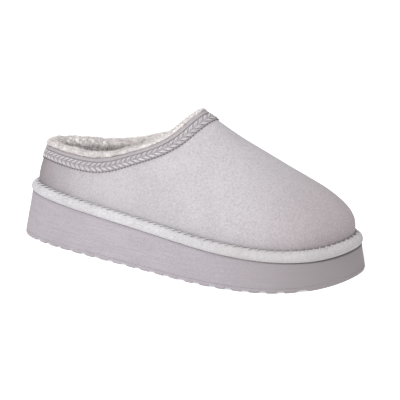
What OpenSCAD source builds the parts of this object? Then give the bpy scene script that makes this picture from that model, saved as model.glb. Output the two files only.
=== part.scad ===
// Platform house slipper for the right foot: suede-look upper, fleece lining, padded rand and a
// thick foam platform. The frame has +X to the toe, +Y to the inner side of the foot and +Z up, and
// its origin is on the ground, in the middle of the sole.

/* [Sole] */
// Length of the sole at the ground
sole_l = 270; // [220:1:325]
// Width of the sole at the ground
sole_w = 110; // [95:1:132]
// Height of the platform's top at the back of the heel
heel_h = 36; // [28:0.5:60]
// Height of the platform's top at the toe
toe_h = 18.5; // [15:0.5:27]
// Thickness of the outsole with its lugs
outsole_t = 3.5; // [3:0.5:6]
// Distance from one lug to the next
lug_pitch = 12.5; // [8:0.5:20]
// Width of the groove between two lugs
groove_w = 5.5; // [2:0.5:6]
// Depth of the grooves
groove_h = 1.5; // [1:0.1:2]
// How far the wall leans out from its top to the outsole
wall_flare = 2.7; // [0:0.1:6]
// How much more it leans out behind the heel
heel_flare = 4.5; // [0:0.1:8]

/* [Rand] */
// Height of the padded rand above the platform
rand_h = 7; // [5:0.5:10]
// Width of the platform's top outside the upper, which the rand covers
rand_w = 5.5; // [4:0.5:9]
// Thickness of the rand's cover
cover_t = 1.2; // [0.8:0.1:1.8]
// How far the rand stands out past the wall
rand_bulge = 0.8; // [0:0.1:2]

/* [Upper] */
// Thickness of the suede-look outer
suede_t = 1.8; // [1:0.1:2.5]
// Thickness of the toe puff and of the heel counter
stiffener_t = 1; // [0.5:0.1:1.5]
// Thickness of the fleece lining with its pile
fleece_t = 6; // [4:0.5:8]
// Height of the rim behind the heel, above the platform
heel_rim = 34.5; // [28:0.5:50]
// Height of the rim beside the foot, above the platform
side_rim = 37; // [30:0.5:52]
// Height of the rim at the throat, above the platform
throat_rim = 84; // [70:0.5:100]
// Width of the foot's opening
opening_w = 58; // [50:1:72]

/* [Collar] */
// Width of the plain binding above the braid
binding_w = 3; // [2.5:0.1:5]
// Thickness of the binding
binding_t = 0.7; // [0.5:0.1:1]
// Width of the braid
braid_w = 7.4; // [6:0.1:12]
// Thickness of the braid
braid_t = 1; // [0.6:0.1:1.6]
// Distance from one chevron to the next along the rim
chevron_pitch = 4.3; // [3:0.1:6]
// How far the fleece stands up above the rim
fleece_roll = 4.5; // [3:0.5:7]

/* [Footbed] */
// Thickness of the insole board
board_t = 1.6; // [1:0.1:2.5]
// Thickness of the foam under the foot
foam_t = 3; // [2:0.5:6]
// Thickness of the footbed's fleece
sock_t = 4; // [3:0.5:8]

/* [Sewing] */
// Radius of the sewing thread
thread_r = 0.45; // [0.3:0.05:0.6]
// Distance from one rand stitch to the next
rand_stitch = 5.5; // [4:0.5:8]
// Distance from one braid stitch to the next
braid_stitch = 2.4; // [2:0.1:5]
// Distance from one stitch to the next in the hidden seams
seam_stitch = 6; // [4:0.5:10]

/* [Hidden] */

// Clearance between layers that lie on each other
gap = 0.1;
// Clearance round the footbed, inside the lining
footbed_clear = 0.4;
// Stations round the shoe
n = 64;
// Stations round the sole, which has the sharper look
n_sole = 128;
// Small step along the shoe, for measuring a direction
eps = 0.002;

suede = [0.83, 0.81, 0.82];
pale = [0.88, 0.87, 0.88];
wool = [0.91, 0.89, 0.86];
foam = [0.76, 0.72, 0.76];
grip = [0.66, 0.63, 0.66];
thread = [0.9, 0.88, 0.88];
dark_thread = [0.45, 0.41, 0.43];
board = [0.72, 0.62, 0.48];

// The sole's outline is a smooth closed curve drawn by these points, at any scale. They start
// behind the heel and go along the outer side to the toe, then back along the inner side.
sole_points = [[-137, -1], [-132, -24], [-97, -38], [-49, -46], [0, -53], [48, -62], [94, -57],
               [124, -32], [136, 6], [136, 36], [108, 51], [60, 52], [5, 42], [-48, 38],
               [-97, 37], [-131, 24]];
// Half of the rim in plan, from behind the heel to the throat, each point with the share of the
// way that it has risen from side_rim to throat_rim. It is drawn at the outline's scale.
rim_points = [[-108, 17, 0], [-60, 27, 0], [-32, 31.5, 0.25], [0, 24, 0.53], [13.5, 13, 0.91]];
heel_point = -122.5;
throat_point = 17.5;

// A cubic B-spline through a closed list of points, with s from 0 to 1 round it
function spline(p, s) =
    let (k = len(p), t = (s - floor(s)) * k, i = floor(t), u = t - i,
         a = p[(i + k - 1) % k], b = p[i % k], c = p[(i + 1) % k], d = p[(i + 2) % k])
    (pow(1 - u, 3) * a + (3 * u * u * u - 6 * u * u + 4) * b
     + (-3 * u * u * u + 3 * u * u + 3 * u + 1) * c + u * u * u * d) / 6;
function unit(v) = v / norm(v);
function mix(a, b, w) = a * (1 - w) + b * w;
function middle(v) = (max(v) + min(v)) / 2;
function span(v) = max(v) - min(v);
function cells(from, to, count) = [for (i = [0 : count]) mix(from, to, i / count)];

// The outline's own box, which is scaled to the sole's length and width
drawn = [for (i = [0 : n_sole - 1]) spline(sole_points, i / n_sole)];
drawn_x = [for (p = drawn) p[0]];
drawn_y = [for (p = drawn) p[1]];
kx = sole_l / span(drawn_x);
ky = sole_w / span(drawn_y);
cx = middle(drawn_x);
cy = middle(drawn_y);

// The sole's outline at the ground, and its outward direction
function sole_at(s) = let (p = spline(sole_points, s)) [(p[0] - cx) * kx, (p[1] - cy) * ky, 0];
function out_at(s) = let (d = sole_at(s + eps) - sole_at(s - eps)) unit([d[1], -d[0], 0]);
// How far the wall has leaned in at the platform's top
function flare_at(s) = wall_flare + heel_flare * max(0, -out_at(s)[0]);
// A point on the platform's top or above it, a distance in from the wall's top edge
slope = (toe_h - heel_h) / sole_l;
function top_z(x) = heel_h + slope * (x + sole_l / 2);
function on_top(s, inset, z) =
    let (p = sole_at(s) - out_at(s) * (flare_at(s) + inset)) [p[0], p[1], top_z(p[0]) + z];

// Going up, the upper is a cubic curve, and its two handles change from the heel's to the toe's:
// shares of the rise for the lower one, and of the way across and of the rise for the upper one
lower_rise = [0.39, 0.35];
upper_across = [0.42, 0.63];
upper_rise = [0.25, 0.565];
// How far the lower handle leans out at the toe, and how late round the shoe the toe's share grows
toe_lean = 7.8;
toe_power = 1.7;

// The rim of the upper, and the direction in which its layers lie on each other
function reversed(v) = [for (i = [len(v) - 1 : -1 : 0]) v[i]];
function round_rim(side) = concat([[heel_point, 0, 0]], [for (p = side) [p[0], -p[1], p[2]]],
                                  [[throat_point, 0, 1]], reversed(side));
rim_drawn = round_rim(rim_points);
rim_ky = opening_w / span([for (i = [0 : n_sole - 1]) spline(rim_drawn, i / n_sole)[1]]);
rim = [for (p = rim_drawn) let (x = (p[0] - cx) * kx)
    [x, p[1] * rim_ky - cy * ky,
     top_z(x) + (p[0] == heel_point ? heel_rim : mix(side_rim, throat_rim, p[2]))]];
rim_outward = [for (i = [0 : len(rim) - 1]) shell_normal(i / len(rim))];

// The upper's outer face. s goes round the shoe from behind the heel, and t goes up it: -1 is on
// the platform, 0 is at the rand's top and 1 is at the rim. Depth is how far inside the face.
function toe_share(s) = pow((1 - cos(360 * s)) / 2, toe_power);
function face(s, t, foot, top) =
    let (w = toe_share(s), flat = [top[0] - foot[0], top[1] - foot[1], 0],
         rise = [0, 0, top[2] - foot[2]],
         a = foot + rise * mix(lower_rise[0], lower_rise[1], w) + out_at(s) * toe_lean * w,
         b = top - flat * mix(upper_across[0], upper_across[1], w)
             - rise * mix(upper_rise[0], upper_rise[1], w))
    pow(1 - t, 3) * foot + 3 * pow(1 - t, 2) * t * a + 3 * (1 - t) * t * t * b + pow(t, 3) * top;
function outer(s, t) = face(s, t, on_top(s, rand_w, rand_h), spline(rim, s));
function shell_normal(s) =
    unit(cross(outer(s + eps, 1) - outer(s - eps, 1), outer(s, 1) - outer(s, 1 - eps)));
function layer(s, t, depth) =
    t < 0 ? mix(on_top(s, rand_w + depth, rand_h), on_top(s, rand_w + depth, 0), -t)
    : face(s, t, on_top(s, rand_w + depth, rand_h), spline(rim, s) - spline(rim_outward, s) * depth);

// The face's t at a distance down from the rim
function below(s, distance) =
    let (first = 1 - 0.1 * distance / norm(layer(s, 1, 0) - layer(s, 0.9, 0)),
         found = norm(layer(s, 1, 0) - layer(s, first, 0)))
    1 - (1 - first) * distance / found;
// A point above the rim, in line with the face
function above(s, depth, height) =
    layer(s, 1, depth) + height * unit(layer(s, 1, 0) - layer(s, 0.95, 0));

// Distances round a closed loop of points, each with its s, and places evenly spaced round it
function distances(p) = let (k = len(p))
    [for (i = 0, d = 0; i <= k; d = d + norm(p[(i + 1) % k] - p[i % k]), i = i + 1) [d, i / k]];
function place(along, d) = let (total = along[len(along) - 1][0])
    lookup(d - total * floor(d / total), along);
function evenly(along, pitch) = let (total = along[len(along) - 1][0], count = floor(total / pitch))
    [for (i = [0 : count - 1]) (i + 0.5) * total / count];

// A solid between an outer and an inner grid of points, each a list of rows. A closed one joins
// its last row to its first.
module skin(outer_grid, inner_grid, closed) {
    k = len(outer_grid);
    m = len(outer_grid[0]);
    bays = closed ? k : k - 1;
    all = k * m;
    function at(i, j) = (i % k) * m + j;
    polyhedron(concat([for (r = outer_grid) each r], [for (r = inner_grid) each r]), concat(
        [for (i = [0 : bays - 1], j = [0 : m - 2])
            let (a = at(i, j), b = at(i + 1, j), c = at(i + 1, j + 1), d = at(i, j + 1))
            each [[a, c, b], [a, d, c], [a + all, b + all, c + all], [a + all, c + all, d + all]]],
        [for (i = [0 : bays - 1])
            let (a = at(i, 0), b = at(i + 1, 0), c = at(i, m - 1), d = at(i + 1, m - 1))
            each [[a, b, b + all], [a, b + all, a + all], [c, d + all, d], [c, c + all, d + all]]],
        closed ? [] : [for (j = [0 : m - 2])
            let (a = at(0, j), b = at(0, j + 1), c = at(k - 1, j), d = at(k - 1, j + 1))
            each [[a, a + all, b + all], [a, b + all, b], [c, d + all, c + all], [c, d, d + all]]]));
}

// A closed ring whose cross-section is one loop of points at every station
module ring(sections) {
    k = len(sections);
    m = len(sections[0]);
    polyhedron([for (r = sections) each r], [for (i = [0 : k - 1], j = [0 : m - 1])
        let (a = i * m + j, b = ((i + 1) % k) * m + j, c = ((i + 1) % k) * m + (j + 1) % m,
             d = i * m + (j + 1) % m)
        each [[a, c, b], [a, d, c]]]);
}

// A closed slab between two flat loops with the same number of points. Each of its two faces is a
// fan of triangles round the loop's middle.
function average(v) = [for (p = v) 1] * v / len(v);
module slab(low, high) {
    k = len(low);
    polyhedron(concat(low, high, [average(low)], [average(high)]),
        [for (i = [0 : k - 1]) let (j = (i + 1) % k)
            each [[i, j, 2 * k], [j + k, i + k, 2 * k + 1], [i, i + k, j + k], [i, j + k, j]]]);
}

// A short length of thread with a square section, through a list of points
module thread_piece(path) {
    k = len(path);
    points = [for (i = [0 : k - 1])
        let (along = unit(path[min(i + 1, k - 1)] - path[max(i - 1, 0)]),
             across = unit(cross(along, [0.31, 0.17, 0.94])), up = cross(across, along))
        each [for (turn = [0 : 3]) path[i] + thread_r * (cos(90 * turn) * across + sin(90 * turn) * up)]];
    last = 4 * k;
    polyhedron(points, concat([[0, 1, 2, 3]], [[last - 1, last - 2, last - 3, last - 4]],
        [for (i = [0 : k - 2], j = [0 : 3])
            let (a = 4 * i + j, b = 4 * i + (j + 1) % 4)
            each [[a, a + 4, b + 4], [a, b + 4, b]]]));
}

stations = [for (i = [0 : n - 1]) i / n];

// The upper's rows, which all its layers share so that their facets lie on each other: from the
// rand's top to the braid's lower edge, across the braid to the binding, and the rim itself
body_rows = 7;
braid_rows = 3;
braid_top = binding_w + gap;
braid_end = braid_top + braid_w;
function steps(s) = concat(cells(0, below(s, braid_end), body_rows),
    [for (i = [braid_rows - 1 : -1 : 0]) below(s, mix(braid_top, braid_end, i / braid_rows))]);
function rows(s, foot) = concat([foot], steps(s), [1]);

// ---- Platform ----
module outline(count) polygon([for (i = [0 : count - 1]) let (p = sole_at(i / count)) [p[0], p[1]]]);

// Grooves run across the sole as shallow zigzags, and leave a plain border at toe and heel
module groove(x) {
    leg = sole_w / 6;
    zigzag = 0.35;
    shift = lug_pitch * zigzag;
    points = [for (i = [-4 : 4]) [x + (i % 2 == 0 ? 0 : shift), i * leg]];
    polygon(concat([for (p = points) p - [groove_w / 2, 0]],
                   [for (i = [8 : -1 : 0]) points[i] + [groove_w / 2, 0]]));
}

module outsole() {
    grooves = floor((sole_l - 2 * lug_pitch) / lug_pitch);
    color(grip) difference() {
        linear_extrude(outsole_t) outline(n_sole);
        for (i = [0 : grooves - 1])
            translate([0, 0, -1]) linear_extrude(groove_h + 1)
                groove((i - (grooves - 1) / 2) * lug_pitch);
    }
}

module midsole() {
    color(foam) slab([for (i = [0 : n_sole - 1]) sole_at(i / n_sole) + [0, 0, outsole_t + gap]],
                     [for (i = [0 : n_sole - 1]) on_top(i / n_sole, 0, 0)]);
}

// ---- Rand ----
// The rand's rounded section, measured out from the upper and up from the platform, and where
// the middle of its curve is, in shares of its width and height
rand_turn = [for (a = [-50 : 20 : 90]) a];
rand_middle = [0.3, 0.45];
function rand_arc(a, shrink) =
    [rand_middle[0] * rand_w + ((1 - rand_middle[0]) * rand_w + rand_bulge - shrink) * cos(a),
     max(rand_middle[1] * rand_h + ((1 - rand_middle[1]) * rand_h - shrink) * sin(a), gap)];
function rand_point(s, p) = on_top(s, rand_w - p[0], p[1]);
function rand_ring(section) = [for (s = stations) [for (p = section) rand_point(s, p)]];

module rand_cover() {
    outside = [for (a = rand_turn) rand_arc(a, 0)];
    inside = [for (a = rand_turn) rand_arc(a, cover_t)];
    color(pale) ring(rand_ring(concat(outside, [[gap, rand_h]], [[gap, rand_h - cover_t]],
                                      reversed(inside))));
}

module rand_filler() {
    inside = [for (a = rand_turn) rand_arc(a, cover_t + gap)];
    color(foam) ring(rand_ring(concat(inside, [[gap, rand_h - cover_t - gap]], [[gap, gap]])));
}

// Whip stitches that bind the rand's cover to the upper
along_rand = distances([for (i = [0 : n_sole - 1]) on_top(i / n_sole, rand_w, rand_h)]);
module rand_stitches() {
    lean = rand_stitch / 6;
    // Shares of the rand's width and of the upper's height that a stitch reaches over
    out_reach = 0.5;
    up_reach = 0.04;
    color(thread) for (d = evenly(along_rand, rand_stitch))
        thread_piece([on_top(place(along_rand, d - lean), (1 - out_reach) * rand_w,
                             rand_h + thread_r + gap),
                      layer(place(along_rand, d + lean), up_reach, -1.5 * thread_r - gap)]);
}

// ---- Insole and footbed ----
function loop(inset, z) = [for (s = stations) on_top(s, inset, z)];
// Where the upper's inner side, the lining's inner face and the lining's lower edge are
board_inset = rand_w + suede_t + gap;
stiff_in = suede_t + gap + stiffener_t;
lining_in = stiff_in + gap + fleece_t;
foot_inset = rand_w + lining_in + footbed_clear;
seam_h = 2 * thread_r + 2 * gap;
lining_floor = (board_t + seam_h) / rand_h - 1;

module insole_board() color(board) slab(loop(board_inset, 0), loop(board_inset, board_t));

// Stitches in the corner between the board and the upper, which join the two
along_board = distances(loop(board_inset, 0));
module strobel_seam() {
    z = board_t + gap + thread_r;
    color(thread) for (d = evenly(along_board, seam_stitch))
        thread_piece([on_top(place(along_board, d - seam_stitch / 4), board_inset + 2 * thread_r, z),
                      on_top(place(along_board, d + seam_stitch / 4), board_inset + 5 * thread_r, z)]);
}

module footbed_foam() color(foam) slab(loop(foot_inset, board_t), loop(foot_inset, board_t + foam_t));
module footbed_fleece() {
    under = board_t + foam_t;
    color(wool) slab(loop(foot_inset, under), loop(foot_inset, under + sock_t));
}

// ---- Upper ----
module upper_shell() {
    function sheet(depth) = [for (s = stations) [for (t = rows(s, -1)) layer(s, t, depth)]];
    color(suede) skin(sheet(0), sheet(suede_t), true);
}

// The stiffeners are glued behind the suede. Each is given by its half width in stations, and by
// how many of the upper's rows it covers.
puff_reach = 6;
puff_rows = 2;
counter_reach = 9;
counter_rows = 5;
module stiffener(centre, reach, count) {
    function sheet(depth) = [for (i = [centre - reach : centre + reach])
        let (ts = steps(i / n)) [layer(i / n, lining_floor, depth),
                                 for (j = [0 : count]) layer(i / n, ts[j], depth)]];
    color(board) skin(sheet(suede_t + gap), sheet(stiff_in), false);
}
module toe_puff() stiffener(n / 2, puff_reach, puff_rows);
module heel_counter() stiffener(n, counter_reach, counter_rows);

// ---- Linings ----
// The fleece lies on the suede, steps in over the stiffeners and the binding, and rolls outward
// over the rim
binding_in = suede_t + gap + binding_t;
last_row = body_rows + braid_rows;
function stiffened(i, j) = (abs(i - n / 2) <= puff_reach && j <= puff_rows)
    || (min(i % n, n - i % n) <= counter_reach && j <= counter_rows);
function lining_out(i, j) = gap + (j >= last_row ? binding_in : stiffened(i, j) ? stiff_in : suede_t);
function lining_face(i, inner) = let (ts = rows(i / n, lining_floor))
    [for (j = [0 : len(ts) - 1]) layer(i / n, ts[j], inner ? lining_in : lining_out(i, j - 1))];
// The roll's two sides, in shares of the lining's depth and of the roll's height
roll_out = [[0.2, 0.25], [0.12, 0.6], [0.3, 1]];
roll_in = [[0.95, 0.4], [0.82, 0.8], [0.6, 1]];
module lining(from, to) {
    clear = binding_t + 2 * gap;
    turn = fleece_roll - clear;
    function roll(i, depth, shape) = concat([above(i / n, depth, clear)],
        [for (p = shape) above(i / n, p[0] * lining_in, clear + p[1] * turn)]);
    outside = [for (i = [from : to])
        concat(lining_face(i, false), roll(i, binding_in + gap, roll_out))];
    inside = [for (i = [from : to]) concat(lining_face(i, true), roll(i, lining_in, roll_in))];
    color(wool) skin(outside, inside, false);
}
// The two linings meet beside the foot
seam_station = 18;
module vamp_lining() lining(seam_station, n - seam_station);
module heel_lining() lining(n - seam_station, n + seam_station);

// ---- Collar ----
// The binding folds over the suede's edge
module collar_binding() {
    over = gap + binding_t;
    color(suede) ring([for (s = stations) let (b = below(s, binding_w), mid = below(s, binding_w / 2))
        [layer(s, b, -over), layer(s, mid, -over), above(s, -over, gap), above(s, 0, over),
         above(s, suede_t, over), above(s, binding_in, gap), layer(s, mid, binding_in),
         layer(s, b, binding_in), layer(s, b, suede_t + gap), layer(s, mid, suede_t + gap),
         above(s, suede_t + gap, gap), above(s, -gap, gap), layer(s, mid, -gap),
         layer(s, b, -gap)]]);
}

// Everything on the braid is placed by its distance round the rim and its distance below it
along_rim = distances([for (i = [0 : n_sole - 1]) spline(rim, i / n_sole)]);
thread_out = braid_t + 2 * gap + thread_r;
function braid_point(d, down, out) = let (s = place(along_rim, d)) layer(s, below(s, down), -out);

module collar_braid() {
    function sheet(depth) = [for (s = stations) let (ts = steps(s))
        [for (j = [body_rows : last_row]) layer(s, ts[j], depth)]];
    color(pale) skin(sheet(-gap - braid_t), sheet(-gap), true);
}

// Chevrons of thread along the braid, which point back along it. Each is two stitches that meet
// in the braid's middle.
module braid_chevrons() {
    top_margin = 1.2;
    low_margin = 1.8;
    reach = chevron_pitch * 0.4;
    centre = (braid_top + braid_end) / 2;
    color(thread) for (d = evenly(along_rim, chevron_pitch), side = [-1, 1])
        thread_piece([braid_point(d - reach, centre + side * 2 * thread_r, thread_out),
                      braid_point(d + reach, side < 0 ? braid_top + top_margin : braid_end - low_margin,
                                  thread_out)]);
}

// A row of short stitches that holds the braid's lower edge
module braid_stitches() {
    half = braid_stitch * 0.3;
    color(dark_thread) for (d = evenly(along_rim, braid_stitch))
        thread_piece([braid_point(d - half, braid_end - thread_r, thread_out),
                      braid_point(d + half, braid_end - thread_r, thread_out)]);
}

// Stitches that close the upper behind the heel, from just above the rand to the braid. Each
// reaches a share of the way round the shoe to either side.
module heel_seam_stitches() {
    low = 0.08;
    high = below(0, braid_end + 2 * thread_r);
    height = norm(layer(0, high, 0) - layer(0, low, 0));
    count = floor(2 * height / seam_stitch);
    reach = 0.15 * seam_stitch / sole_l;
    color(thread) for (i = [0 : count]) {
        t = mix(low, high, i / count);
        thread_piece([layer(-reach, t, -thread_r - gap), layer(reach, t, -thread_r - gap)]);
    }
}

outsole();
midsole();
rand_cover();
rand_filler();
rand_stitches();
insole_board();
strobel_seam();
footbed_foam();
footbed_fleece();
upper_shell();
toe_puff();
heel_counter();
vamp_lining();
heel_lining();
collar_binding();
collar_braid();
braid_chevrons();
braid_stitches();
heel_seam_stitches();
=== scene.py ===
import itertools
import math

import bpy
import numpy as np
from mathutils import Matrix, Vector


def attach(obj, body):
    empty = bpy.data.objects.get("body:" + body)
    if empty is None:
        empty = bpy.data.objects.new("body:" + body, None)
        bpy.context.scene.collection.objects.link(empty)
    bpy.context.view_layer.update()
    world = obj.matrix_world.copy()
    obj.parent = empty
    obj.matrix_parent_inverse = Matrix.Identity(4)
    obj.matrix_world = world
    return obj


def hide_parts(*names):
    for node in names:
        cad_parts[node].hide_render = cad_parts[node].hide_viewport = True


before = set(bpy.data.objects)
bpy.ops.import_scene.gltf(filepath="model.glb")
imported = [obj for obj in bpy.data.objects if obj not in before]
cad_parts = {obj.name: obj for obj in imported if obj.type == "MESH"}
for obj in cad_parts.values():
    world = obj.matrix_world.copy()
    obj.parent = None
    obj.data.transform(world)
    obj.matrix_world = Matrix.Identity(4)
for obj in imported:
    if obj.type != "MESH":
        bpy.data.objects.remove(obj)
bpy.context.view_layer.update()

# ---------------------------------------------------------------------------
# The last's sizes, in millimetres, as the CAD part has them
# ---------------------------------------------------------------------------
SOLE_LENGTH = 270.0
SOLE_WIDTH = 110.0
HEEL_HEIGHT = 36.0
TOE_HEIGHT = 18.5
OUTSOLE = 3.5
LUG_PITCH = 12.5
GROOVE_WIDTH = 5.5
GROOVE_DEPTH = 1.5
WALL_FLARE = 2.7
HEEL_FLARE = 4.5
RAND_HEIGHT = 7.0
RAND_WIDTH = 5.5
RAND_COVER = 1.2
RAND_BULGE = 0.8
SUEDE = 1.8
STIFFENER = 1.0
FLEECE = 6.0
HEEL_RIM = 34.5
SIDE_RIM = 37.0
THROAT_RIM = 84.0
OPENING = 58.0
BINDING = 3.0
BINDING_THICKNESS = 0.7
BRAID = 7.4
BRAID_THICKNESS = 1.0
CHEVRON_PITCH = 4.3
ROLL = 4.5
BOARD = 1.6
FOAM = 3.0
SOCK = 4.0
RAND_STITCH = 5.5
BRAID_STITCH = 2.4
GAP = 0.1
FOOTBED_CLEARANCE = 0.4
SMALL_STEP = 0.002

# The sole's outline, from behind the heel along the outer side to the toe and back
SOLE_POINTS = np.array([
    (-137, -1), (-132, -24), (-97, -38), (-49, -46), (0, -53), (48, -62), (94, -57), (124, -32),
    (136, 6), (136, 36), (108, 51), (60, 52), (5, 42), (-48, 38), (-97, 37), (-131, 24)], float)
# Half of the rim: x, y and how far it has risen from the side's height to the throat's
RIM_SIDE = [(-108, 17, 0), (-60, 27, 0), (-32, 31.5, 0.25), (0, 24, 0.53), (13.5, 13, 0.91)]
RIM_HEEL = (-122.5, 0, 0)
RIM_THROAT = (17.5, 0, 1)

# The two handles of the upper's curve from rand to rim, at the heel and at the toe
LOWER_RISE = (0.39, 0.35)
UPPER_ACROSS = (0.42, 0.63)
UPPER_RISE = (0.25, 0.565)
TOE_LEAN = 7.8
TOE_POWER = 1.7

METRE = 1000.0
ROUND = 2 * math.pi


# ---------------------------------------------------------------------------
# The shape of the last
# ---------------------------------------------------------------------------
def spline(points, s):
    """A closed cubic B-spline, with s from 0 to 1 round it."""
    s = np.asarray(s, float)
    count = len(points)
    along = (s - np.floor(s)) * count
    i = np.floor(along).astype(int)
    u = (along - i)[..., None]
    a, b, c, d = (points[(i + k) % count] for k in (-1, 0, 1, 2))
    return ((1 - u) ** 3 * a + (3 * u ** 3 - 6 * u * u + 4) * b
            + (-3 * u ** 3 + 3 * u * u + 3 * u + 1) * c + u ** 3 * d) / 6


def unit(v):
    return v / np.linalg.norm(v, axis=-1, keepdims=True)


def mix(a, b, w):
    return a * (1 - w) + b * w


def ease(x, low, high):
    """0 below low, 1 above high and smooth between them."""
    w = np.clip((x - low) / (high - low), 0, 1)
    return w * w * (3 - 2 * w)


def solid_point(xy, z):
    return np.concatenate([xy, np.broadcast_to(z, xy.shape[:-1])[..., None]], -1)


drawn = spline(SOLE_POINTS, np.arange(128) / 128)
outline_centre = (drawn.max(0) + drawn.min(0)) / 2
outline_scale = np.array([SOLE_LENGTH, SOLE_WIDTH]) / np.ptp(drawn, axis=0)


def sole_at(s):
    return solid_point((spline(SOLE_POINTS, s) - outline_centre) * outline_scale, 0.0)


def out_at(s):
    d = sole_at(s + SMALL_STEP) - sole_at(s - SMALL_STEP)
    return unit(np.stack([d[..., 1], -d[..., 0], 0 * d[..., 0]], -1))


def top_z(x):
    return HEEL_HEIGHT + (TOE_HEIGHT - HEEL_HEIGHT) / SOLE_LENGTH * (x + SOLE_LENGTH / 2)


def on_top(s, inset, z):
    """A point over the platform's top, a distance in from the wall's top edge."""
    out = out_at(s)
    flare = WALL_FLARE + HEEL_FLARE * np.maximum(0, -out[..., 0])
    p = sole_at(s) - out * (flare + inset)[..., None]
    return solid_point(p[..., :2], top_z(p[..., 0]) + z)


rim_plan = np.array([RIM_HEEL] + [(x, -y, w) for x, y, w in RIM_SIDE] + [RIM_THROAT]
                    + RIM_SIDE[::-1], float)
rim_scale = OPENING / np.ptp(spline(rim_plan, np.arange(128) / 128)[:, 1])
rim_x = (rim_plan[:, 0] - outline_centre[0]) * outline_scale[0]
rim_y = rim_plan[:, 1] * rim_scale - outline_centre[1] * outline_scale[1]
rim_rise = np.where(rim_plan[:, 0] == RIM_HEEL[0], HEEL_RIM,
                    mix(SIDE_RIM, THROAT_RIM, rim_plan[:, 2]))
RIM = np.stack([rim_x, rim_y, top_z(rim_x) + rim_rise], -1)


def face(s, t, foot, top):
    w = (((1 - np.cos(ROUND * s)) / 2) ** TOE_POWER)[..., None]
    t = t[..., None]
    across = (top - foot) * (1, 1, 0)
    rise = (top - foot) * (0, 0, 1)
    a = foot + rise * mix(*LOWER_RISE, w) + out_at(s) * TOE_LEAN * w
    b = top - across * mix(*UPPER_ACROSS, w) - rise * mix(*UPPER_RISE, w)
    return (1 - t) ** 3 * foot + 3 * (1 - t) ** 2 * t * a + 3 * (1 - t) * t * t * b + t ** 3 * top


def outer(s, t):
    return face(s, t, on_top(s, RAND_WIDTH, RAND_HEIGHT), spline(RIM, s))


def rim_normal(s):
    one = np.ones_like(s)
    return unit(np.cross(outer(s + SMALL_STEP, one) - outer(s - SMALL_STEP, one),
                         outer(s, one) - outer(s, one - SMALL_STEP)))


RIM_OUTWARD = rim_normal(np.arange(len(RIM)) / len(RIM))


def layer(s, t, depth):
    """A point of the upper or of a layer inside it: t is -1 on the platform, 0 at the rand's top
    and 1 at the rim."""
    s, t, depth = (np.array(v, float) for v in np.broadcast_arrays(s, t, depth))
    inset = RAND_WIDTH + depth
    foot = on_top(s, inset, RAND_HEIGHT)
    top = spline(RIM, s) - spline(RIM_OUTWARD, s) * depth[..., None]
    up = face(s, np.maximum(t, 0), foot, top)
    down = mix(foot, on_top(s, inset, 0.0), np.clip(-t, 0, 1)[..., None])
    return np.where(t[..., None] < 0, down, up)


def below(s, distance):
    """The layer's t at a distance down from the rim."""
    rim = layer(s, 1, 0)
    first = 1 - 0.1 * distance / np.linalg.norm(rim - layer(s, 0.9, 0), axis=-1)
    found = np.linalg.norm(rim - layer(s, first, 0), axis=-1)
    return 1 - (1 - first) * distance / np.maximum(found, 1e-6)


def at_rim(s, depth, height):
    """A point at a depth inside the outer face and a height over the rim, or down from it."""
    s, depth, height = (np.array(v, float) for v in np.broadcast_arrays(s, depth, height))
    up = unit(layer(s, 1, 0) - layer(s, 0.95, 0))
    over = layer(s, 1, depth) + up * height[..., None]
    under = layer(s, below(s, np.maximum(-height, 1e-3)), depth)
    return np.where(height[..., None] >= 0, over, under)


def places(path, pitch):
    """Evenly spaced places along a closed path, as values of s, with the real spacing."""
    s = np.arange(2049) / 2048
    run = np.concatenate([[0], np.cumsum(np.linalg.norm(np.diff(path(s), axis=0), axis=1))])
    count = int(run[-1] / pitch)
    real = run[-1] / count
    return np.interp((np.arange(count) + 0.5) * real, run, s), real, run, s


def lumps(points, size, seed):
    """Smooth seeded noise from -1 to 1 with lumps of about a size."""
    table = np.random.default_rng(seed).uniform(-1, 1, (32, 32, 32))
    place = points / size
    base = np.floor(place).astype(int)
    f = place - base
    f = f * f * (3 - 2 * f)
    total = np.zeros(points.shape[:-1])
    for corner in itertools.product((0, 1), repeat=3):
        weight = np.prod(np.where(corner, f, 1 - f), axis=-1)
        i, j, k = np.moveaxis((base + corner) % 32, -1, 0)
        total += weight * table[i, j, k]
    return total


# ---------------------------------------------------------------------------
# Mesh making
# ---------------------------------------------------------------------------
def grid_faces(rows, columns, wrap_rows=False, wrap_columns=False):
    """The quads of a grid of points, which may close on itself either way."""
    i, j = np.meshgrid(np.arange(rows if wrap_rows else rows - 1),
                       np.arange(columns if wrap_columns else columns - 1), indexing="ij")
    i2, j2 = (i + 1) % rows, (j + 1) % columns
    quads = np.stack([i * columns + j, i2 * columns + j, i2 * columns + j2, i * columns + j2], -1)
    return quads.reshape(-1, 4)


def grid_normals(grid, wrap_rows=True, wrap_columns=False):
    def slope(axis, wrap):
        if wrap:
            return np.roll(grid, -1, axis) - np.roll(grid, 1, axis)
        return np.gradient(grid, axis=axis)
    return unit(np.cross(slope(0, wrap_rows), slope(1, wrap_columns)) + 1e-9)


def build(name, parts, material, replaces=()):
    """One object from a list of (points, faces), in millimetres, riding on the one body."""
    points, faces, start = [], [], 0
    for p, f in parts:
        p = np.asarray(p).reshape(-1, 3)
        points.append(p)
        corners = f.tolist() if isinstance(f, np.ndarray) else f
        faces.extend([[i + start for i in one] for one in corners])
        start += len(p)
    mesh = bpy.data.meshes.new(name)
    mesh.from_pydata((np.concatenate(points) / METRE).tolist(), [], faces)
    mesh.polygons.foreach_set("use_smooth", [True] * len(mesh.polygons))
    mesh.materials.append(material)
    mesh.update()
    thing = bpy.data.objects.new(name, mesh)
    bpy.context.scene.collection.objects.link(thing)
    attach(thing, "root")
    if replaces:
        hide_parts(*replaces)
    return thing


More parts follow.
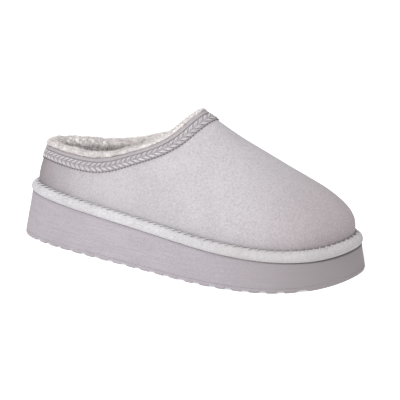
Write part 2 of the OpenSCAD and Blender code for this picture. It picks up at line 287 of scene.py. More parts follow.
def tubes(paths, radii, sides=8, flat=1.0, flat_axis=None):
    """Round-ended tubes along many paths, given as an array (tube, point, 3). flat squashes the
    section along flat_axis, which is one direction for each tube."""
    paths = np.asarray(paths)
    count, length, _ = paths.shape
    along = unit(np.gradient(paths, axis=1))
    if flat_axis is None:
        flat_axis = np.broadcast_to((0.31, 0.17, 0.94), (count, 3))
    normal = np.broadcast_to(flat_axis[:, None, :], paths.shape)
    across = unit(np.cross(along, normal))
    normal = np.cross(across, along)
    taper = np.sin(np.clip(np.linspace(0, 1, length), 0.06, 0.94) * math.pi) ** 0.35
    turn = np.arange(sides) / sides * ROUND
    radius = (np.broadcast_to(radii, (count,))[:, None] * taper)[..., None, None]
    ring = (across[:, :, None] * np.cos(turn)[None, None, :, None]
            + normal[:, :, None] * np.sin(turn)[None, None, :, None] * flat)
    points = paths[:, :, None] + ring * radius
    block = length * sides
    one = grid_faces(length, sides, wrap_columns=True)
    faces = (one[None] + (np.arange(count) * block)[:, None, None]).reshape(-1, 4).tolist()
    for k in range(count):
        faces.append([k * block + j for j in reversed(range(sides))])
        faces.append([k * block + block - sides + j for j in range(sides)])
    return points.reshape(-1, 3), faces


# ---------------------------------------------------------------------------
# Finishes
# ---------------------------------------------------------------------------
class Value:
    """A number socket. Arithmetic on it adds Math nodes to its material."""

    def __init__(self, tree, socket):
        self.tree = tree
        self.socket = socket

    def maths(self, operation, *terms):
        node = self.tree.nodes.new("ShaderNodeMath")
        node.operation = operation
        for place, term in zip(node.inputs, terms):
            if isinstance(term, Value):
                self.tree.links.new(term.socket, place)
            else:
                place.default_value = term
        return Value(self.tree, node.outputs[0])

    def __add__(self, other):
        return self.maths("ADD", self, other)

    def __radd__(self, other):
        return self.maths("ADD", other, self)

    def __sub__(self, other):
        return self.maths("SUBTRACT", self, other)

    def __rsub__(self, other):
        return self.maths("SUBTRACT", other, self)

    def __mul__(self, other):
        return self.maths("MULTIPLY", self, other)

    def __rmul__(self, other):
        return self.maths("MULTIPLY", other, self)


class Finish:
    """A material with one Principled shader."""

    def __init__(self, name, **uniform):
        self.material = bpy.data.materials.new(name)
        self.material.use_nodes = True
        self.tree = self.material.node_tree
        self.tree.nodes.clear()
        output = self.tree.nodes.new("ShaderNodeOutputMaterial")
        self.shader = self.tree.nodes.new("ShaderNodeBsdfPrincipled")
        self.tree.links.new(self.shader.outputs[0], output.inputs["Surface"])
        for socket, value in uniform.items():
            self.shader.inputs[socket.replace("_", " ")].default_value = value

    def node(self, kind, settings=None, inputs=None, output=0):
        """Any node: its type, its settings, which are set first, and what its sockets take."""
        node = self.tree.nodes.new("ShaderNode" + kind)
        for setting, value in (settings or {}).items():
            setattr(node, setting, value)
        for socket, value in (inputs or {}).items():
            if isinstance(value, Value):
                self.tree.links.new(value.socket, node.inputs[socket])
            else:
                node.inputs[socket].default_value = value
        return Value(self.tree, node.outputs[output])

    def along(self):
        """Metres forward of the middle of the sole."""
        where = self.node("TexCoord", output="Object")
        return self.node("SeparateXYZ", None, {0: where})

    def place(self, stretch=(1, 1, 1)):
        """Object coordinates, stretched."""
        where = self.node("TexCoord", output="Object")
        return self.node("VectorMath", {"operation": "MULTIPLY"}, {0: where, 1: stretch})

    def noise(self, scale, detail=2.0, roughness=0.5, stretch=(1, 1, 1)):
        return self.node("TexNoise", None, {"Vector": self.place(stretch), "Scale": scale,
                                            "Detail": detail, "Roughness": roughness})

    def steps(self, value, low, high):
        """0 where the value is under low, 1 over high and smooth between them."""
        return self.node("MapRange", {"interpolation_type": "SMOOTHSTEP"},
                         {"Value": value, "From Min": low, "From Max": high})

    def tint(self, factor, one, two):
        """A colour between two."""
        inputs = {0: factor, 6: one, 7: two}
        for key in (6, 7):
            if not isinstance(inputs[key], Value):
                inputs[key] = (*inputs[key], 1)
        return self.node("Mix", {"data_type": "RGBA"}, inputs, output=2)

    def feed(self, socket, value):
        self.tree.links.new(value.socket, self.shader.inputs[socket])

    def colour(self, value):
        self.feed("Base Color", value)

    def roughness(self, value):
        self.feed("Roughness", value)

    def glow(self, value):
        self.feed("Emission Color", value)

    def bump(self, height, depth, strength=1.0):
        """A relief of a depth in millimetres."""
        bumped = self.node("Bump", None, {"Height": height, "Distance": depth / METRE,
                                          "Strength": strength})
        self.feed("Normal", bumped)


SET_LIGHT = 1.62   # how much brighter than its own colour a white surface looks in the set's light
HEEL_PAINTED_SHADE = (-0.118, -0.045)   # where the heel's painted shade is full, and where it ends
# where the toe's painted shade begins, and where it is full
TOE_PAINTED_SHADE = (0.075, 0.145)
# where the foam's painted shade towards the front begins, and where it is full
FOAM_FRONT_SHADE = (-0.03, 0.12)
# where the foam's painted toe shade begins, and where it is full
FOAM_TOE_SHADE = (0.05, 0.12)


def shade(red, green, blue):
    """A colour that looks like the given 0 to 255 numbers where the set's light is full."""
    def linear(v):
        v /= 255
        return v / 12.92 if v <= 0.04045 else ((v + 0.055) / 1.055) ** 2.4
    return tuple(linear(v) / SET_LIGHT for v in (red, green, blue))


def brushed_suede(name, light, dark, heel=None, toe=None, toe_share=0.38, toe_shade_span=TOE_PAINTED_SHADE):
    """Napped suede: a fine mottled fibre and soft patches where the nap lies another way. Where
    heel or toe is given, painted shade turns the colour towards that darker shade round the heel
    or over the toe."""
    finish = Finish(name, Specular_IOR_Level=0.15, Sheen_Weight=0.05, Sheen_Roughness=0.6)
    fibre = finish.noise(1700, 3, 0.65)
    mottle = finish.noise(760, 4, 0.66)
    patch = finish.noise(45, 2, 0.5)
    nap = 0.30 * fibre + 0.55 * mottle + 0.15 * patch
    tone = finish.tint(finish.steps(nap, 0.38, 0.62), dark, light)
    if heel:
        # Painted shade: darker round the heel, towards the heel shade
        back = 1 - finish.steps(finish.along() + 0.022 * patch, *HEEL_PAINTED_SHADE)
        tone = finish.tint(back, tone, finish.tint(0.6 * nap, heel, dark))
    if toe:
        # Painted shade: darker over the toe, towards the toe shade
        front = toe_share * finish.steps(finish.along() + 0.03 * patch, *toe_shade_span)
        tone = finish.tint(front, tone, finish.tint(0.6 * nap, toe, dark))
    finish.colour(tone)
    finish.roughness(0.86 + 0.1 * mottle)
    finish.bump(0.6 * fibre + 0.4 * mottle, 0.25, 0.55)
    return finish.material


def pile(name, light, dark):
    """Curly wool pile, with painted shade a little darker between its curls."""
    finish = Finish(name, Specular_IOR_Level=0.1, Sheen_Weight=0.25, Sheen_Roughness=0.7)
    curl = finish.noise(420, 3, 0.6)
    clump = finish.noise(120, 2, 0.5)
    finish.colour(finish.tint(finish.steps(0.55 * curl + 0.45 * clump, 0.34, 0.62), dark, light))
    finish.roughness(0.9 + 0.08 * curl)
    finish.bump(curl, 0.7, 0.8)
    return finish.material


def moulded_foam(name, light, dark, streak, toe=None):
    """Moulded foam rubber with fine level streaks, and painted shade: darker towards the front,
    and where toe is given, turned to that toe shade over the toe.
    """
    finish = Finish(name, Specular_IOR_Level=0.25)
    line = finish.noise(1.0, 2, 0.6, (40, 40, 1500))
    speck = finish.noise(1100, 2, 0.6)
    cloud = finish.noise(30, 2, 0.5)
    tone = streak * line + (0.85 - streak) * speck + 0.15 * cloud
    # Painted shade: the foam darkens towards the front
    painted_front_shade = 0.13 * finish.steps(finish.along(), *FOAM_FRONT_SHADE)
    shown = finish.tint(finish.steps(tone - painted_front_shade, 0.34, 0.66), dark, light)
    if toe:
        # Painted shade: over the toe the foam turns to the toe shade
        shown = finish.tint(0.75 * finish.steps(finish.along(), *FOAM_TOE_SHADE), shown, toe)
    finish.colour(shown)
    finish.roughness(0.62 + 0.16 * speck)
    finish.bump(0.6 * line + 0.4 * speck, 0.10, 0.45)
    return finish.material


def spun_thread(name, light, dark):
    """Thread with a fine twist."""
    finish = Finish(name, Specular_IOR_Level=0.3, Sheen_Weight=0.15)
    ply = finish.noise(1500, 2, 0.5)
    finish.colour(finish.tint(finish.steps(ply, 0.35, 0.65), dark, light))
    finish.roughness(0.6 + 0.2 * ply)
    finish.bump(ply, 0.15, 0.6)
    return finish.material


def pressed_board(name, light, dark):
    """Pressed fibre board."""
    finish = Finish(name, Specular_IOR_Level=0.2)
    fibre = finish.noise(700, 4, 0.7, (1, 0.4, 1))
    finish.colour(finish.tint(finish.steps(fibre, 0.35, 0.65), dark, light))
    finish.roughness(0.75 + 0.2 * fibre)
    finish.bump(fibre, 0.12, 0.5)
    return finish.material


# The suede's heel and toe colours are painted shade, darker round the heel and over the toe
suede = brushed_suede("suede", shade(228, 224, 228), shade(202, 196, 200),
                      heel=shade(139, 123, 127), toe=shade(176, 138, 138))
binding_suede = brushed_suede("binding_suede", shade(208, 201, 204), shade(188, 180, 183))
# The rand's toe colour is painted shade, darker over the toe
rand_suede = brushed_suede("rand_suede", shade(246, 244, 247), shade(215, 211, 215),
                           toe=shade(205, 196, 190), toe_share=0.42, toe_shade_span=(0.02, 0.10))
# The wall's and the tread's toe colours are painted shade, darker over the toe
wall_foam = moulded_foam("wall_foam", shade(214, 207, 214), shade(188, 180, 187), streak=0.32,
                         toe=shade(176, 168, 169))
tread_rubber = moulded_foam("tread_rubber", shade(211, 204, 211), shade(188, 180, 187),
                            streak=0.3, toe=shade(176, 168, 169))
soft_foam = moulded_foam("soft_foam", shade(214, 208, 212), shade(196, 190, 196), streak=0.1)
wool = pile("wool", shade(282, 276, 274), shade(236, 228, 227))
wool_tips = pile("wool_tips", shade(290, 284, 282), shade(262, 255, 254))
# The braid tape's darker tone is partly its own colour and partly painted shade in the gaps
# between the chevron threads
braid_tape = brushed_suede("braid_tape", shade(203, 196, 199), shade(181, 174, 178))
light_thread = spun_thread("light_thread", shade(254, 250, 252), shade(232, 228, 231))
seam_thread = spun_thread("seam_thread", shade(240, 238, 240), shade(220, 217, 220))
dark_thread = spun_thread("dark_thread", shade(128, 120, 124), shade(98, 90, 95))
fibre_board = pressed_board("fibre_board", shade(190, 170, 140), shade(160, 140, 112))
stiffener_board = pressed_board("stiffener_board", shade(216, 208, 196), shade(190, 182, 170))

# ---------------------------------------------------------------------------
# Camera, lights and floor
# ---------------------------------------------------------------------------
scene = bpy.context.scene
scene.view_settings.view_transform = "Standard"

AZIMUTH = math.radians(28.0)
ELEVATION = math.radians(16.9)
CAMERA_DISTANCE = 0.9576
TARGET = Vector((0.01375, 0.004375, 0.0418))
BACK = Vector((math.sin(AZIMUTH) * math.cos(ELEVATION), -math.cos(AZIMUTH) * math.cos(ELEVATION),
               math.sin(ELEVATION)))
RIGHT = Vector((math.cos(AZIMUTH), math.sin(AZIMUTH), 0))
UP = Vector((0, 0, 1))

camera_data = bpy.data.cameras.new("camera")
camera_data.lens = 117.0
camera_data.sensor_width = 36.0
camera_data.clip_start = 0.01
camera = bpy.data.objects.new("camera", camera_data)
camera.location = TARGET + BACK * CAMERA_DISTANCE
camera.rotation_euler = BACK.to_track_quat("Z", "Y").to_euler()
scene.collection.objects.link(camera)
scene.camera = camera


def softbox(name, direction, distance, size, watts):
    """A round soft light that faces the slipper."""
    data = bpy.data.lights.new(name, "AREA")
    data.shape = "DISK"
    data.size = size
    data.energy = watts
    lamp = bpy.data.objects.new(name, data)
    direction = direction.normalized()
    lamp.location = TARGET + direction * distance
    lamp.rotation_euler = direction.to_track_quat("Z", "Y").to_euler()
    scene.collection.objects.link(lamp)


softbox("key", BACK * 0.85 - RIGHT * 0.55 + UP * 0.75, distance=1.6, size=0.7, watts=19)
softbox("overhead", UP + BACK * 0.15 + RIGHT * 0.2, distance=1.5, size=1.0, watts=10.5)

world = bpy.data.worlds.new("studio")
world.use_nodes = True
background = world.node_tree.nodes["Background"]
background.inputs["Color"].default_value = (0.98, 0.985, 1, 1)
background.inputs["Strength"].default_value = 0.30
scene.world = world

floor_finish = Finish("studio_floor", Roughness=0.9, Specular_IOR_Level=0.1,
                      Emission_Strength=1.0)
paper = floor_finish.noise(5, 2, 0.5)
floor_finish.colour(floor_finish.tint(paper, (0.93, 0.93, 0.93), (0.96, 0.96, 0.96)))
from_middle = floor_finish.node("VectorMath", {"operation": "LENGTH"}, {0: floor_finish.place()},
                                output="Value")
floor_finish.glow(floor_finish.tint(floor_finish.steps(from_middle, 0.25, 1.6),
                                    (0.40, 0.40, 0.40), (0.75, 0.75, 0.75)))
FLOOR_HALF = 14.0   # metres
floor_mesh = bpy.data.meshes.new("floor")
floor_mesh.from_pydata([(-FLOOR_HALF, -FLOOR_HALF, 0), (FLOOR_HALF, -FLOOR_HALF, 0),
                        (FLOOR_HALF, FLOOR_HALF, 0), (-FLOOR_HALF, FLOOR_HALF, 0)],
                       [], [(0, 1, 2, 3)])
floor_mesh.materials.append(floor_finish.material)
floor = bpy.data.objects.new("floor", floor_mesh)
scene.collection.objects.link(floor)

# ---------------------------------------------------------------------------
# Platform
# ---------------------------------------------------------------------------
def around(count):
    return (np.arange(count) / count)[:, None]


def slab_caps(count, rows):
    """Fans that close the two ends of a lofted wall round two points that come after it."""
    steps = [(i, (i + 1) % count) for i in range(count)]
    last = rows - 1
    return ([[j * rows, i * rows, count * rows] for i, j in steps]
            + [[i * rows + last, j * rows + last, count * rows + 1] for i, j in steps])


def platform_wall():
    """The foam wall from the outsole to the rand, with a rounded top edge and a fine recess under
    the rand."""
    stations, recess, ripple_depth = 640, 0.9, 0.10
    s = around(stations)
    low = sole_at(s) + (0, 0, OUTSOLE + GAP)
    high = on_top(s, 0, 0.0)
    v = np.concatenate([[0, 0.012], np.linspace(0.03, 0.94, 26), [0.965, 0.985, 1.0]])[None, :]
    tuck = recess * ease(v, 0.95, 1.0)
    wall = mix(low, high, v[..., None]) - out_at(s) * tuck[..., None]
    ripple = ripple_depth * lumps(wall * (0.5, 0.5, 6), size=9, seed=5)
    wall = wall + out_at(s) * (ripple * ease(v, 0, 0.1) * (1 - ease(v, 0.9, 1)))[..., None]
    rows = v.shape[1]
    middle = [wall[:, 0].mean(0), wall[:, -1].mean(0)]
    faces = grid_faces(stations, rows, wrap_rows=True).tolist() + slab_caps(stations, rows)
    points = np.concatenate([wall.reshape(-1, 3), middle])
    return build("platform_wall", [(points, faces)], wall_foam, ["midsole"])


ZIGZAG = 0.35   # how far a groove swings, in lug pitches


def tread(x, y):
    """How deep the tread is cut at a point of the sole: rounded shallow zigzag grooves."""
    leg = SOLE_WIDTH / 6
    grooves = int((SOLE_LENGTH - 2 * LUG_PITCH) / LUG_PITCH)
    limit = (grooves - 1) / 2
    shift = limit % 1
    zigzag = np.abs(y / leg % 2 - 1)
    place = x - ZIGZAG * LUG_PITCH * (1 - zigzag)
    nearest = np.clip(np.round(place / LUG_PITCH - shift) + shift, -limit, limit)
    away = np.abs(place - nearest * LUG_PITCH)
    return GROOVE_DEPTH * (1 - ease(away, 0.26 * GROOVE_WIDTH, 0.62 * GROOVE_WIDTH))


def outsole():
    """The outsole with its grooves. Its rings shrink to a line between the heel and the toe."""
    stations, rings = 1100, 70
    s = around(stations)
    edge = sole_at(s)
    spine = edge * (1, 0, 0)
    spine[..., 0] = np.clip(edge[..., 0], -SOLE_LENGTH / 2 + 42, SOLE_LENGTH / 2 - 50)
    share = np.linspace(0, 1, rings)[None, :]
    bottom = mix(spine, edge, share[..., None])
    bottom[..., 2] = tread(bottom[..., 0], bottom[..., 1])
    corner = ease(share, 0.975, 1.0)
    bottom[..., 2] += 0.25 * corner
    wall_z = np.array([0.35, 0.7, 1.0])
    wall = np.stack([solid_point(edge[:, 0, :2], mix(bottom[:, -1, 2], OUTSOLE, w))
                     for w in wall_z], axis=1)
    wall += out_at(s) * np.array([0.28, 0.12, 0.0])[None, :, None]
    top = mix(spine, edge, np.linspace(0.97, 0, 6)[None, :, None])
    top[..., 2] = OUTSOLE
    skin = np.concatenate([bottom, wall, top], axis=1)
    faces = grid_faces(stations, skin.shape[1], wrap_rows=True)
    return build("tread_sole", [(skin, faces)], tread_rubber, ["outsole"])


# ---------------------------------------------------------------------------
# Rand
# ---------------------------------------------------------------------------
RAND_MIDDLE = (0.3, 0.45)


def rand_path(s):
    return on_top(s, RAND_WIDTH, RAND_HEIGHT)


rand_places, _, rand_run, _ = places(rand_path, RAND_STITCH)


def from_stitch(s):
    """Distance, in pitches, from the nearest whip stitch: 0 at one and 0.5 half way."""
    order = np.interp(s % 1, np.concatenate([[rand_places[-1] - 1], rand_places,
                                             [rand_places[0] + 1]]),
                      np.arange(-1, len(rand_places) + 1))
    return np.abs(order - np.round(order))


def rand_arc(a, shrink):
    """Distances out and up of the rand's rounded section at an angle, shrunk for its inside."""
    out = RAND_MIDDLE[0] * RAND_WIDTH + ((1 - RAND_MIDDLE[0]) * RAND_WIDTH + RAND_BULGE
                                         - shrink) * np.cos(a)
    up = RAND_MIDDLE[1] * RAND_HEIGHT + ((1 - RAND_MIDDLE[1]) * RAND_HEIGHT - shrink) * np.sin(a)
    return out, np.maximum(up, GAP)


def rand():
    """The padded rand, drawn in at every whip stitch so that it puckers between them."""
    stations = 1060
    puff_out, puff_up = 0.22, 0.30
    draw_in, draw_down = 0.12, 0.08
    press = 0.25   # how far its top edge is pressed into the upper
    s = around(stations)
    near = from_stitch(s[:, 0])[:, None]
    pinch = np.exp(-(near / 0.17) ** 2)
    angle = np.radians(np.linspace(-50, 90, 22))[None, :]
    out, up = rand_arc(angle, 0)
    high = ease(angle, math.radians(25), math.radians(80))
    swell = puff_out * np.sin(np.clip((angle + 0.6) / 2, 0, math.pi / 2) * 2)
    out = out + 0 * near + swell * (1 - pinch) - draw_in * high * pinch
    up = up + 0 * near + puff_up * high * (1 - pinch) - draw_down * high * pinch
    outside = on_top(s, RAND_WIDTH - out, up)
    soft = 0.22 * lumps(outside, 11, 8) + 0.12 * lumps(outside, 4, 9)
    outside += grid_normals(outside) * (soft * ease(angle, -0.7, 0.2))[..., None]
    seam = on_top(s, RAND_WIDTH - np.array([[-press, GAP]]),
                  np.array([[RAND_HEIGHT + 0.45, RAND_HEIGHT - RAND_COVER]]) - draw_down * pinch)
    in_out, in_up = rand_arc(angle[:, ::-2], RAND_COVER)
    inside = on_top(s, RAND_WIDTH - in_out, in_up)
    ring = np.concatenate([outside, seam, inside], axis=1)
    faces = grid_faces(stations, ring.shape[1], wrap_rows=True, wrap_columns=True)
    piece = build("rand", [(ring, faces)], rand_suede, ["rand_cover"])
    return piece


def whip_stitches():
    """Each stitch comes out of the rand, crosses its top edge and goes into the upper."""
    lean = RAND_STITCH / 6 / rand_run[-1]
    share = np.linspace(0, 1, 7)[None, :]
    s = rand_places[:, None] + mix(-lean, lean, share)
    start = on_top(s, 0.50 * RAND_WIDTH, RAND_HEIGHT - 0.1)
    low, reach_up, proud, bow, radius = 0.02, 0.9, 0.15, 0.25, 0.50
    rise = np.linalg.norm(layer(s, low, 0) - layer(s, 0, 0), axis=-1)
    end = layer(s, low * reach_up / rise, -proud)
    path = mix(start, end, share[..., None])
    lift = np.sin(share * math.pi) * bow
    path += out_at(s) * (0.35 * lift)[..., None] + np.array([0, 0, 1]) * lift[..., None]
    return build("whip_stitches", [tubes(path, radius)], seam_thread,
                 ["rand_stitches"])


# ---------------------------------------------------------------------------
# Upper
# ---------------------------------------------------------------------------
def upper():
    """The upper, drawn in at the whip stitches, with soft waves and a back seam."""
    stations = 560
    s = around(stations)
    t = np.concatenate([[-0.9, -0.4, 0.0], np.linspace(0.008, 1, 104)])[None, :]
    skin = layer(s, t, 0)
    normal = grid_normals(skin)
    near = from_stitch(s[:, 0])[:, None]
    above_rand = np.linalg.norm(skin - skin[:, 2:3], axis=-1)
    low = (1 - ease(above_rand, 0.0, 7.0)) * (t >= 0)
    rim_fade = 1 - ease(t, 0.9, 0.98)
    pucker = -0.10 * np.exp(-(near / 0.2) ** 2) * low + 0.12 * low
    wave = 0.45 * lumps(skin, 46, 1) + 0.22 * lumps(skin, 21, 2) + 0.07 * lumps(skin, 6, 3)
    from_seam = np.linalg.norm((skin - layer(0 * s, t, 0)), axis=-1)
    seam = -0.7 * np.exp(-(from_seam / 0.9) ** 2) + 0.35 * np.exp(-((from_seam - 2.2) / 1.4) ** 2)
    seam = seam * (t >= 0) * (1 - ease(t, 0.75, 0.85))
    skin = skin + normal * (pucker + (wave * rim_fade * ease(t, 0, 0.1)) + seam)[..., None]
    inner_t = np.linspace(1, -0.9, 24)[None, :]
    inner = layer(s, inner_t, SUEDE)
    body = np.concatenate([skin, inner], axis=1)
    faces = grid_faces(stations, body.shape[1], wrap_rows=True, wrap_columns=True)
    return build("upper", [(body, faces)], suede, ["upper_shell"])


def back_seam_stitches():
    """Cross stitches that close the upper behind the heel."""
    rows = np.linspace(0.10, 0.74, 9)
    share = np.linspace(-1, 1, 7)[None, :]
    reach, radius = 0.0035, 0.4
    s = reach * share + 0 * rows[:, None]
    t = rows[:, None] + 0.012 * share
    path = layer(s, t, -0.25 - 0.35 * (1 - share ** 2))
    return build("back_seam_stitches", [tubes(path, radius, flat_axis=-out_at(0 * rows))],
                 seam_thread, ["heel_seam_stitches"])


# ---------------------------------------------------------------------------
# Collar
# ---------------------------------------------------------------------------
def rim_path(s):
    return spline(RIM, s)


chevron_places, chevron_real, rim_run, rim_s = places(rim_path, CHEVRON_PITCH)
stitch_places, _, _, _ = places(rim_path, BRAID_STITCH)
RIM_LENGTH = rim_run[-1]
BRAID_TOP = BINDING + GAP
BRAID_LOW = BRAID_TOP + BRAID
RIB_PITCH = 1.25


def along_rim(s, distance):
    """The value of s a distance further along the rim."""
    run = np.interp(s % 1, rim_s, rim_run) + distance
    return np.interp(run % RIM_LENGTH, rim_run, rim_s)


def binding():
    """A folded strip over the suede's edge, puffed out a little on its outer face and softly
    lumpy.
    """
    stations, puff_depth = 900, 0.08
    s = around(stations)
    turn = np.linspace(math.pi, 0, 11)[None, :]
    over = GAP + BINDING_THICKNESS
    inner = SUEDE + GAP + BINDING_THICKNESS
    half = (inner + over) / 2
    top_depth = (inner - over) / 2 + half * np.cos(turn)
    top_height = (over - 0.15) * np.sin(turn)
    down = np.linspace(0, -BINDING, 7)[None, 1:]
    puff = puff_depth * np.sin(np.linspace(0, math.pi, 7))[None, 1:]
    depth = np.concatenate([inner + 0 * down[:, ::-1], top_depth, -over - puff,
                            [[-GAP]], [[SUEDE + GAP]]], axis=1)
    height = np.concatenate([down[:, ::-1], top_height, down,
                             [[-BINDING]], [[-BINDING]]], axis=1)
    strip = at_rim(s, depth, height)
    soft = 0.16 * lumps(strip, 7, 11) + 0.10 * lumps(strip, 3, 12)
    strip += grid_normals(strip, wrap_columns=True) * (soft * np.ones_like(depth))[..., None] * -1
    faces = grid_faces(stations, depth.shape[1], wrap_rows=True, wrap_columns=True)[:, ::-1]
    return build("binding", [(strip, faces)], binding_suede, ["collar_binding"])


def braid():
    """The tape under the chevrons: a woven band with a cord along each edge."""
    stations = 1500
    s = around(stations)
    v = np.linspace(0, 1, 17)[None, :]
    run = np.interp(s[:, 0], rim_s, rim_run)[:, None]
    ribs = round(RIM_LENGTH / RIB_PITCH)
    rib = np.sin(run / RIM_LENGTH * ROUND * ribs)
    edge = np.exp(-((v - 0.06) / 0.05) ** 2) + np.exp(-((v - 0.94) / 0.05) ** 2)
    body = np.sin(v * math.pi) ** 0.3
    out = GAP + BRAID_THICKNESS * (0.62 * body + 0.30 * edge) + 0.10 * rib * (0.4 + edge)
    height = -mix(BRAID_TOP, BRAID_LOW, v)
    outside = at_rim(s, -out, height)
    inside = at_rim(s, -0.5 * GAP + 0 * v[:, ::-4], height[:, ::-4])
    band = np.concatenate([outside, inside], axis=1)
    faces = grid_faces(stations, band.shape[1], wrap_rows=True, wrap_columns=True)
    return build("braid", [(band, faces)], braid_tape, ["collar_braid"])


def chevrons():
    """Each chevron has two arms of two flat threads, which meet in the braid's middle."""
    centre = (BRAID_TOP + BRAID_LOW) / 2
    near_middle, reach, apart = 0.25, 3.05, 1.25
    radius, flatness = 0.36, 0.8
    outward = spline(RIM_OUTWARD, chevron_places)
    sets = []
    share = np.linspace(0, 1, 7)[None, :]
    for side, strand in itertools.product((-1, 1), (-0.5, 0.5)):
        distance = mix(-0.34, 0.36, share) * chevron_real + strand * apart
        s = along_rim(chevron_places[:, None] + 0 * share, distance)
        height = -(centre + side * mix(near_middle, reach, share)) + 0 * s
        depth = -(GAP + 0.75 + 0.55 * np.sin(share * math.pi) ** 0.7) + 0 * s
        path = at_rim(s, depth, height)
        sets.append(tubes(path, radius, flat=flatness, flat_axis=outward))
    return build("chevrons", sets, light_thread, ["braid_chevrons"])


def braid_edge_stitches():
    """A row of short dark stitches along the braid's lower edge."""
    half_length, radius = 0.45, 0.42
    share = np.linspace(-1, 1, 5)[None, :]
    s = along_rim(stitch_places[:, None] + 0 * share, share * half_length)
    path = at_rim(s, -(GAP + 0.35 + 0.2 * (1 - share ** 2)) + 0 * s, -BRAID_LOW - 0.25 + 0 * s)
    return build("braid_edge_stitches", [tubes(path, radius)], dark_thread,
                 ["braid_stitches"])


# ---------------------------------------------------------------------------
# Fleece
# ---------------------------------------------------------------------------
LINING_DEPTH = SUEDE + GAP + STIFFENER + GAP + FLEECE


def roll_section(s, count):
    """Depth and height of the fleece's roll over the rim, from outside over the top to inside.
    It is flatter at the throat and fuller on the inner side just behind it."""
    turn = np.linspace(1.05 * math.pi, 0.0, count)[None, :]
    middle_depth, reach = 0.5 * LINING_DEPTH, 0.54 * LINING_DEPTH
    throat = np.exp(-((s - 0.5) / 0.06) ** 2)
    inner_side = np.exp(-((s - 0.63) / 0.05) ** 2)
    fullness = 1 - 0.60 * throat + 0.30 * inner_side
    depth = middle_depth + reach * np.cos(turn) + 0 * s
    height = 0.95 + (ROLL - 0.9) * np.sin(turn) * fullness
    return depth, height


def fleece_sleeve(start, end, stations):
    """The lining's pile between two stations: outside of the roll, over it, and down inside."""
    s = np.linspace(start, end, stations)[:, None]
    over = at_rim(s, *roll_section(s, 14))
    t = np.linspace(1.0, -0.55, 44)[None, :]
    inner = layer(s, t, LINING_DEPTH)
    outer_rows = layer(s, t[:, ::-3], LINING_DEPTH - FLEECE + 0.3)
    return s, np.concatenate([over, inner], axis=1), outer_rows


def fleece(name, start, end, stations, node, seed):
    """A lumpy pile over one lining. It gives its grid and normals for the fibres."""
    s, shown, hidden = fleece_sleeve(start, end, stations)
    normal = grid_normals(shown, wrap_rows=False)
    soft = (0.95 * lumps(shown, 8.0, seed) + 0.65 * lumps(shown, 3.6, seed + 1)
            + 0.22 * lumps(shown, 1.6, seed + 2))
    inside = ease(np.arange(shown.shape[1]), 9, 20)[None, :]
    shown = shown + normal * (soft * mix(0.6, 1.1, inside))[..., None]
    body = np.concatenate([shown, hidden], axis=1)
    faces = grid_faces(stations, body.shape[1], wrap_columns=True)
    columns = body.shape[1]
    ends = [list(range(columns))[::-1],
            list(range((stations - 1) * columns, stations * columns))]
    piece = build(name, [(body, faces.tolist() + ends)], wool, [node])
    return shown, normal


def tufts(name, grid, normal, weight, count, seed, length=(1.3, 2.6), width=0.30):
    """Curved tapering fibres that stand on the pile."""
    random = np.random.default_rng(seed)
    columns = grid.shape[1]
    area = np.linalg.norm(np.cross(grid[1:, :-1] - grid[:-1, :-1],
                                   grid[:-1, 1:] - grid[:-1, :-1]), axis=-1) * weight
    i, j = np.divmod(random.choice(area.size, count, p=(area / area.sum()).ravel()), columns - 1)
    u, v = random.random((2, count, 1))
    root = mix(mix(grid[i, j], grid[i + 1, j], u), mix(grid[i, j + 1], grid[i + 1, j + 1], u), v)
    lean = unit(normal[i, j] + 0.45 * random.normal(size=(count, 3)))
    bend = unit(np.cross(lean, random.normal(size=(count, 3))))
    side = np.cross(lean, bend)
    reach = random.uniform(*length, (count, 1))
    turn = np.arange(3) / 3 * ROUND
    section = (bend[:, None] * np.cos(turn)[:, None] + side[:, None] * np.sin(turn)[:, None])
    low = (root - lean * 0.5)[:, None] + section * width / 2
    middle = (root + lean * reach * 0.5 + bend * reach * 0.12)[:, None] + section * width * 0.42
    tip = (root + lean * reach * 0.85 + bend * reach * 0.48)[:, None]
    points = np.concatenate([low, middle, tip], axis=1)
    sides = [(k, (k + 1) % 3, (k + 1) % 3 + 3, k + 3) for k in range(3)]
    ends = [(k + 3, (k + 1) % 3 + 3, 6) for k in range(3)]
    start = (np.arange(count) * 7)[:, None, None]
    faces = (start + sides).reshape(-1, 4).tolist() + (start + ends).reshape(-1, 3).tolist()
    return build(name, [(points, faces)], wool_tips)


platform_wall()
outsole()
rand()
whip_stitches()
upper()
back_seam_stitches()
binding()
braid()
chevrons()
braid_edge_stitches()

SEAM = 18 / 64   # where the two linings meet, as a share of the way round
LAP = 0.001
FIBRES = 30000
PILE_SEED = 21   # shared, so that the lumps meet at the seam
vamp_grid, vamp_normal = fleece("vamp_fleece", SEAM - LAP, 1 - SEAM + LAP, 420,
                                "vamp_lining", PILE_SEED)
heel_grid, heel_normal = fleece("heel_fleece", -SEAM, SEAM, 460, "heel_lining", PILE_SEED)


def top_first(grid):
    """Weights that put most fibres on the roll and just inside it."""
    columns = grid.shape[1]
    place = np.arange(columns - 1)[None, :]
    return mix(1.0, 0.35, ease(place, 22, 40)) + 0 * grid[:-1, :1, 0]


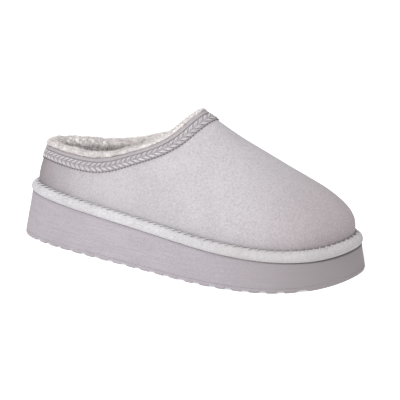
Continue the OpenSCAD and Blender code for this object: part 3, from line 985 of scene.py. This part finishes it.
tufts("vamp_pile", vamp_grid, vamp_normal, top_first(vamp_grid), FIBRES, 41)
tufts("heel_pile", heel_grid, heel_normal, top_first(heel_grid), FIBRES, 42)


def footbed():
    """The footbed's pile, crowned a little and lumpy, inside the lining."""
    inset = RAND_WIDTH + LINING_DEPTH + FOOTBED_CLEARANCE
    under = BOARD + FOAM
    stations, rings = 300, 26
    s = around(stations)
    edge = on_top(s, inset, under + SOCK)
    back_end, front_end = -SOLE_LENGTH / 2 + 50, SOLE_LENGTH / 2 - 60
    middle_y, lap = 3, 1.5
    from_ends = np.minimum(edge[..., 0] - back_end, front_end - edge[..., 0])
    overlap = np.where(s < 0.5, lap, -lap) * ease(from_ends, 0, 10)
    spine = edge * (1, 0, 0) + (0, middle_y, 0) + overlap[..., None] * (0, 1, 0)
    spine[..., 0] = np.clip(edge[..., 0], back_end, front_end)
    spine[..., 2] = top_z(spine[..., 0]) + under + SOCK
    share = np.linspace(0, 1, rings)[None, :]
    top = mix(spine, edge, share[..., None])
    top[..., 2] += 0.9 * (1 - share ** 3) + 0.6 * lumps(top, 7, 51) + 0.4 * lumps(top, 3, 52) - 0.6
    low_edge = on_top(s, inset, under)
    bottom = mix(low_edge, spine - (0, 0, SOCK), np.linspace(0, 1, 5)[None, :, None])
    skin = np.concatenate([top, bottom], axis=1)
    piece = build("footbed", [(skin, grid_faces(stations, skin.shape[1], wrap_rows=True))], wool,
                  ["footbed_fleece"])
    return top


foot_grid = footbed()
foot_normal = np.broadcast_to((0.0, 0.0, 1.0), foot_grid.shape)
tufts("footbed_pile", foot_grid, foot_normal, 1.0, FIBRES // 2, 43)

# ---------------------------------------------------------------------------
# CAD pieces that keep their shape
# ---------------------------------------------------------------------------
KEPT = {"rand_filler": soft_foam, "insole_board": fibre_board, "strobel_seam": seam_thread,
        "footbed_foam": soft_foam, "toe_puff": stiffener_board, "heel_counter": stiffener_board}
for name, material in KEPT.items():
    for place in bpy.data.objects[name].material_slots:
        place.material = material
